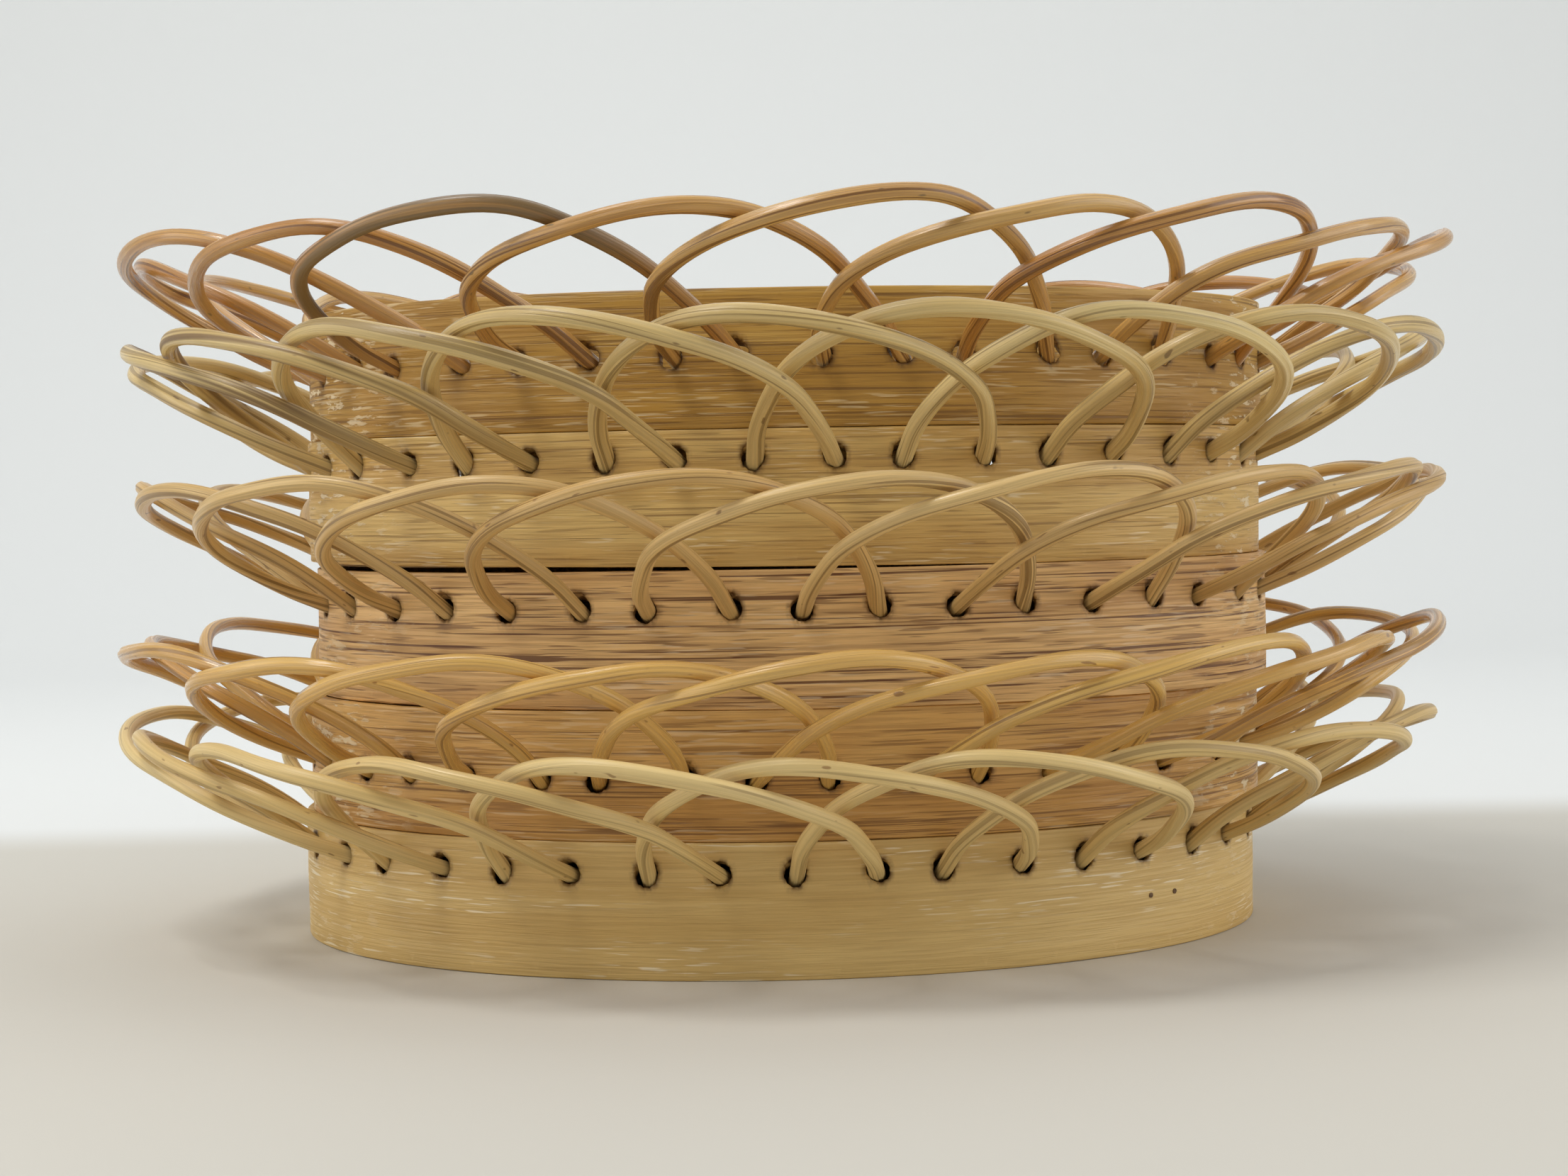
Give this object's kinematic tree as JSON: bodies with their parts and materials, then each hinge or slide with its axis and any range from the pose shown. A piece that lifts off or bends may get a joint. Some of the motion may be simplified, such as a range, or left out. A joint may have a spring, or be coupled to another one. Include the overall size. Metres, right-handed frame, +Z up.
{
  "type": "bamboo tray stack",
  "caption": "Stack of shallow oval bamboo trays, each a thin bent hoop with a slatted floor and a wide border of overlapping round cane loops that lean outward.",
  "frame": {"origin": "middle of the oval, on the surface the stack stands on", "axes": "+Z up out of the trays, +X along the oval's long way, -Y towards the front"},
  "size_m": [0.2101, 0.1675, 0.1064],
  "materials": {
    "hoop_straw": "bent bamboo strip with fine lengthwise grain, satin",
    "hoop_golden": "bent bamboo strip with fine lengthwise grain, satin",
    "hoop_tan": "bent bamboo strip with fine lengthwise grain, satin",
    "hoop_pale": "bent bamboo strip with fine lengthwise grain, satin",
    "hoop_honey": "bent bamboo strip with fine lengthwise grain, satin",
    "cane_ivory": "round cane with lengthwise fibre lines, satin",
    "cane_golden": "round cane with lengthwise fibre lines, satin",
    "cane_buff": "round cane with lengthwise fibre lines, satin",
    "cane_pale": "round cane with lengthwise fibre lines, satin",
    "cane_amber": "round cane with lengthwise fibre lines, satin",
    "inner_bamboo": "plain bamboo strip, matt",
    "floor_bamboo": "split bamboo slats, matt",
    "splint_bamboo": "thin split bamboo, matt",
    "peg_bamboo": "bamboo peg end grain, matt"
  },
  "bodies": {
    "tray_1": {"hoop_1": "hoop_straw", "ledge_ring_1": "inner_bamboo", "floor_slats_1": "floor_bamboo", "floor_splints_1": "splint_bamboo", "keeper_ring_1": "inner_bamboo", "pegs_1": "peg_bamboo", "cane_border_1": "cane_ivory"},
    "tray_2": {"hoop_2": "hoop_golden", "ledge_ring_2": "inner_bamboo", "floor_slats_2": "floor_bamboo", "floor_splints_2": "splint_bamboo", "keeper_ring_2": "inner_bamboo", "pegs_2": "peg_bamboo", "cane_border_2": "cane_golden"},
    "tray_3": {"hoop_3": "hoop_tan", "ledge_ring_3": "inner_bamboo", "floor_slats_3": "floor_bamboo", "floor_splints_3": "splint_bamboo", "keeper_ring_3": "inner_bamboo", "pegs_3": "peg_bamboo", "cane_border_3": "cane_buff"},
    "tray_4": {"hoop_4": "hoop_pale", "ledge_ring_4": "inner_bamboo", "floor_slats_4": "floor_bamboo", "floor_splints_4": "splint_bamboo", "keeper_ring_4": "inner_bamboo", "pegs_4": "peg_bamboo", "cane_border_4": "cane_pale"},
    "tray_5": {"hoop_5": "hoop_honey", "ledge_ring_5": "inner_bamboo", "floor_slats_5": "floor_bamboo", "floor_splints_5": "splint_bamboo", "keeper_ring_5": "inner_bamboo", "pegs_5": "peg_bamboo", "cane_border_5": "cane_amber"}
  },
  "joints": [
    {"name": "lift_tray_2", "type": "slide", "parent": "tray_1", "child": "tray_2", "axis": [0, 0, 1], "range_m": [0, 0.06]},
    {"name": "lift_tray_3", "type": "slide", "parent": "tray_2", "child": "tray_3", "axis": [0, 0, 1], "range_m": [0, 0.06]},
    {"name": "lift_tray_4", "type": "slide", "parent": "tray_3", "child": "tray_4", "axis": [0, 0, 1], "range_m": [0, 0.06]},
    {"name": "lift_tray_5", "type": "slide", "parent": "tray_4", "child": "tray_5", "axis": [0, 0, 1], "range_m": [0, 0.06]}
  ]
}
